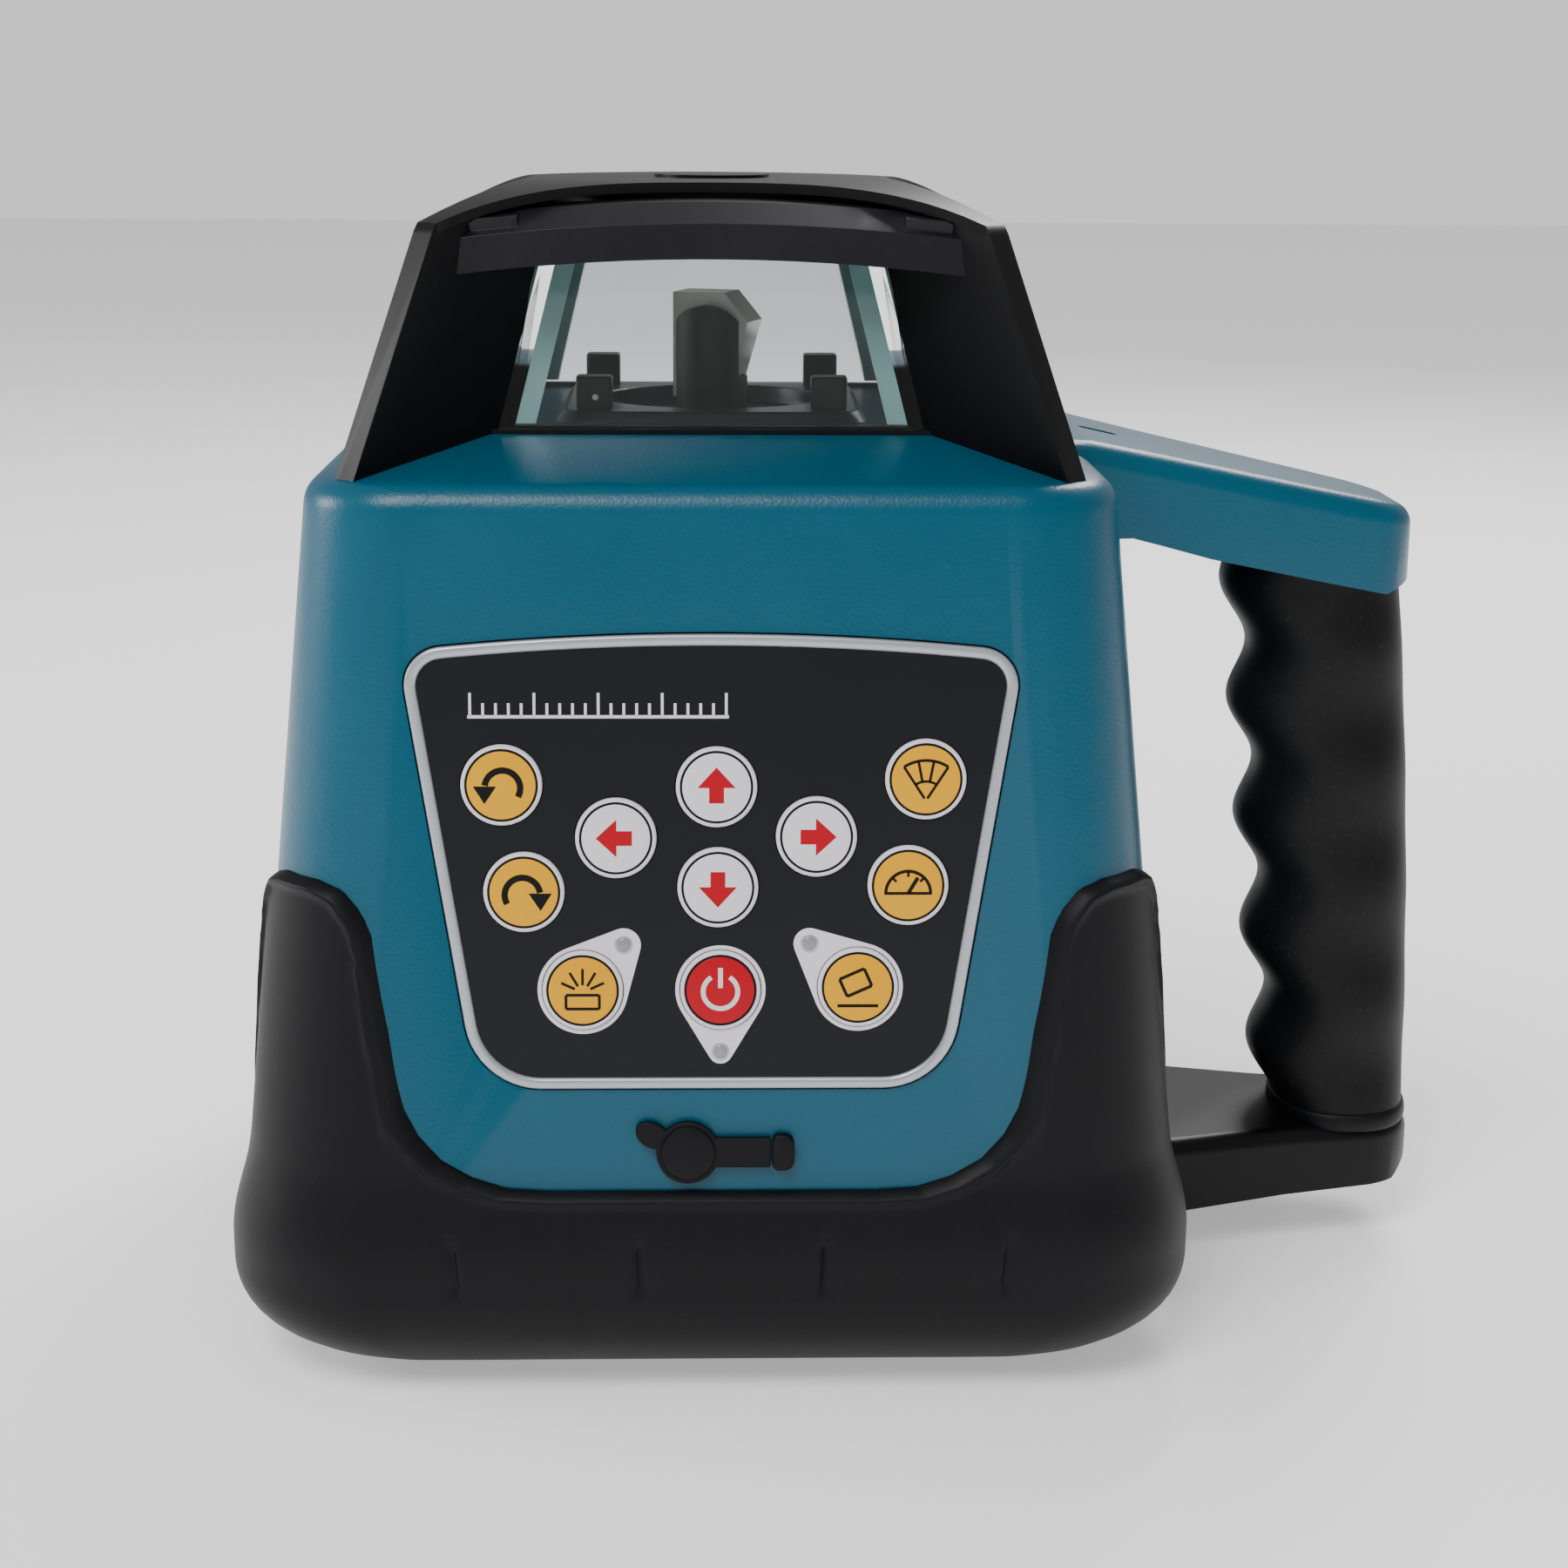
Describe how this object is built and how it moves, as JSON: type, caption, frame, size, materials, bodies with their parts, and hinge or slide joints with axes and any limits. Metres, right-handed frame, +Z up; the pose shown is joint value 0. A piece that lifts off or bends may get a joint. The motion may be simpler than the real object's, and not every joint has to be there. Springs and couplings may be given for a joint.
{
  "type": "rotary laser level",
  "caption": "Self-levelling rotary laser level: teal housing with rubber boot and side handle, glazed lantern over a spinning prism, and a keypad.",
  "frame": {"origin": "on the rotor axis at the mouth of the tripod thread, in the plane of the foot plate's underside", "axes": "+Z up along the rotor axis, the keypad faces -Y, the handle points along +X"},
  "size_m": [0.2076, 0.158, 0.1899],
  "materials": {
    "teal_plastic": "fine pebbled moulding",
    "black_plastic": "fine matt moulding",
    "black_rubber": "matt moulded rubber",
    "grey_plastic": "plain",
    "glass": "clear float glass",
    "optics": "coated prism",
    "silver": "satin",
    "yellow_plastic": "satin",
    "white_plastic": "satin",
    "red_plastic": "satin",
    "steel": "turned",
    "brass": "turned",
    "board": "solder mask"
  },
  "bodies": {
    "housing": {"housing_shell": "teal_plastic", "turret_cover": "teal_plastic", "sensor_posts": "black_plastic", "foot_plate": "silver", "foot_screws": "steel", "tripod_insert": "brass", "base_tray": "black_plastic", "rubber_boot": "black_rubber", "handle_grip": "black_rubber", "handle_core": "silver", "handle_screw": "steel", "lantern_frame": "black_plastic", "roof_cap": "black_plastic", "window_panes": "glass", "window_seal": "black_rubber", "keypad_bezel": "silver", "keypad_membrane": "black_plastic", "keypad_board": "board", "status_lights": "white_plastic", "charge_jack": "black_plastic", "flap_anchor": "black_rubber", "door_hinge_pin": "steel", "battery_pack": "grey_plastic", "battery_cradle": "grey_plastic", "battery_contacts": "brass", "control_board": "board", "chassis_plate": "silver", "gimbal_brackets": "silver", "level_motors": "steel"},
    "gimbal": {"gimbal_ring": "silver", "gimbal_pins": "steel"},
    "barrel": {"laser_barrel": "silver", "drive_motor": "steel", "drive_belt": "black_rubber", "spindle_bearings": "steel", "laser_diode": "steel", "collimator_lens": "optics", "level_vials": "glass"},
    "rotor": {"rotor_spindle": "steel", "pentaprism": "optics", "prism_holder": "black_plastic"},
    "pulley": {"motor_pulley": "brass"},
    "screw_x": {"level_screw_x": "steel"},
    "screw_y": {"level_screw_y": "steel"},
    "nut_x": {"level_nut_x": "brass"},
    "nut_y": {"level_nut_y": "brass"},
    "flap": {"port_flap": "black_rubber"},
    "door": {"battery_door": "black_plastic"},
    "knob": {"door_knob": "black_plastic"},
    "button_turn_left": {"key_turn_left": "yellow_plastic"},
    "button_turn_right": {"key_turn_right": "yellow_plastic"},
    "button_up": {"key_up": "white_plastic"},
    "button_left": {"key_left": "white_plastic"},
    "button_right": {"key_right": "white_plastic"},
    "button_down": {"key_down": "white_plastic"},
    "button_scan": {"key_scan": "yellow_plastic"},
    "button_speed": {"key_speed": "yellow_plastic"},
    "button_mode": {"key_mode": "yellow_plastic"},
    "button_power": {"key_power": "red_plastic"},
    "button_sleep": {"key_sleep": "yellow_plastic"}
  },
  "joints": [
    {"name": "level_x", "type": "hinge", "parent": "housing", "child": "gimbal", "pos_m": [0, 0, 0.112], "axis": [1, 0, 0], "range_deg": [-5, 5]},
    {"name": "level_y", "type": "hinge", "parent": "gimbal", "child": "barrel", "pos_m": [0, 0, 0.112], "axis": [0, 1, 0], "range_deg": [-5, 5]},
    {"name": "rotor_spin", "type": "hinge", "parent": "barrel", "child": "rotor", "pos_m": [0, 0, 0.14], "axis": [0, 0, 1], "continuous": true},
    {"name": "motor_spin", "type": "hinge", "parent": "barrel", "child": "pulley", "pos_m": [-0.017, 0.017, 0.14], "axis": [0, 0, 1], "continuous": true},
    {"name": "nut_x_slide", "type": "slide", "parent": "housing", "child": "nut_x", "axis": [0, 0, 1], "range_m": [-0.0034, 0.0034]},
    {"name": "nut_y_slide", "type": "slide", "parent": "housing", "child": "nut_y", "axis": [0, 0, 1], "range_m": [-0.0047, 0.0047]},
    {"name": "screw_x_spin", "type": "hinge", "parent": "housing", "child": "screw_x", "pos_m": [0, 0.038, 0.11], "axis": [0, 0, 1], "range_deg": [-620, 620]},
    {"name": "screw_y_spin", "type": "hinge", "parent": "housing", "child": "screw_y", "pos_m": [-0.053, 0, 0.11], "axis": [0, 0, 1], "range_deg": [-850, 850]},
    {"name": "flap_swing", "type": "hinge", "parent": "housing", "child": "flap", "pos_m": [0.0096, -0.07524, 0.04144], "axis": [0, 0.0946, 0.9955], "range_deg": [0, 100]},
    {"name": "door_swing", "type": "hinge", "parent": "housing", "child": "door", "pos_m": [0, 0.07212, 0.04255], "axis": [-1, 0, 0], "range_deg": [0, 85]},
    {"name": "knob_turn", "type": "hinge", "parent": "door", "child": "knob", "pos_m": [0, 0.07092, 0.07107], "axis": [0, 0.9955, 0.0946], "range_deg": [0, 90]},
    {"name": "press_turn_left", "type": "slide", "parent": "housing", "child": "button_turn_left", "axis": [0, 0.9955, -0.0946], "range_m": [0, 0.0006], "stiffness_N_per_m": 900},
    {"name": "press_turn_right", "type": "slide", "parent": "housing", "child": "button_turn_right", "axis": [0, 0.9955, -0.0946], "range_m": [0, 0.0006], "stiffness_N_per_m": 900},
    {"name": "press_up", "type": "slide", "parent": "housing", "child": "button_up", "axis": [0, 0.9955, -0.0946], "range_m": [0, 0.0006], "stiffness_N_per_m": 900},
    {"name": "press_left", "type": "slide", "parent": "housing", "child": "button_left", "axis": [0, 0.9955, -0.0946], "range_m": [0, 0.0006], "stiffness_N_per_m": 900},
    {"name": "press_right", "type": "slide", "parent": "housing", "child": "button_right", "axis": [0, 0.9955, -0.0946], "range_m": [0, 0.0006], "stiffness_N_per_m": 900},
    {"name": "press_down", "type": "slide", "parent": "housing", "child": "button_down", "axis": [0, 0.9955, -0.0946], "range_m": [0, 0.0006], "stiffness_N_per_m": 900},
    {"name": "press_scan", "type": "slide", "parent": "housing", "child": "button_scan", "axis": [0, 0.9955, -0.0946], "range_m": [0, 0.0006], "stiffness_N_per_m": 900},
    {"name": "press_speed", "type": "slide", "parent": "housing", "child": "button_speed", "axis": [0, 0.9955, -0.0946], "range_m": [0, 0.0006], "stiffness_N_per_m": 900},
    {"name": "press_mode", "type": "slide", "parent": "housing", "child": "button_mode", "axis": [0, 0.9955, -0.0946], "range_m": [0, 0.0006], "stiffness_N_per_m": 900},
    {"name": "press_power", "type": "slide", "parent": "housing", "child": "button_power", "axis": [0, 0.9955, -0.0946], "range_m": [0, 0.0006], "stiffness_N_per_m": 900},
    {"name": "press_sleep", "type": "slide", "parent": "housing", "child": "button_sleep", "axis": [0, 0.9955, -0.0946], "range_m": [0, 0.0006], "stiffness_N_per_m": 900}
  ],
  "couplings": [
    {"joint": "motor_spin", "follows": "rotor_spin", "ratio": 3},
    {"joint": "nut_x_slide", "follows": "level_x", "m_per_rad": 0.038},
    {"joint": "screw_x_spin", "follows": "level_x", "ratio": 119.38},
    {"joint": "nut_y_slide", "follows": "level_y", "m_per_rad": 0.053},
    {"joint": "screw_y_spin", "follows": "level_y", "ratio": 166.5}
  ]
}
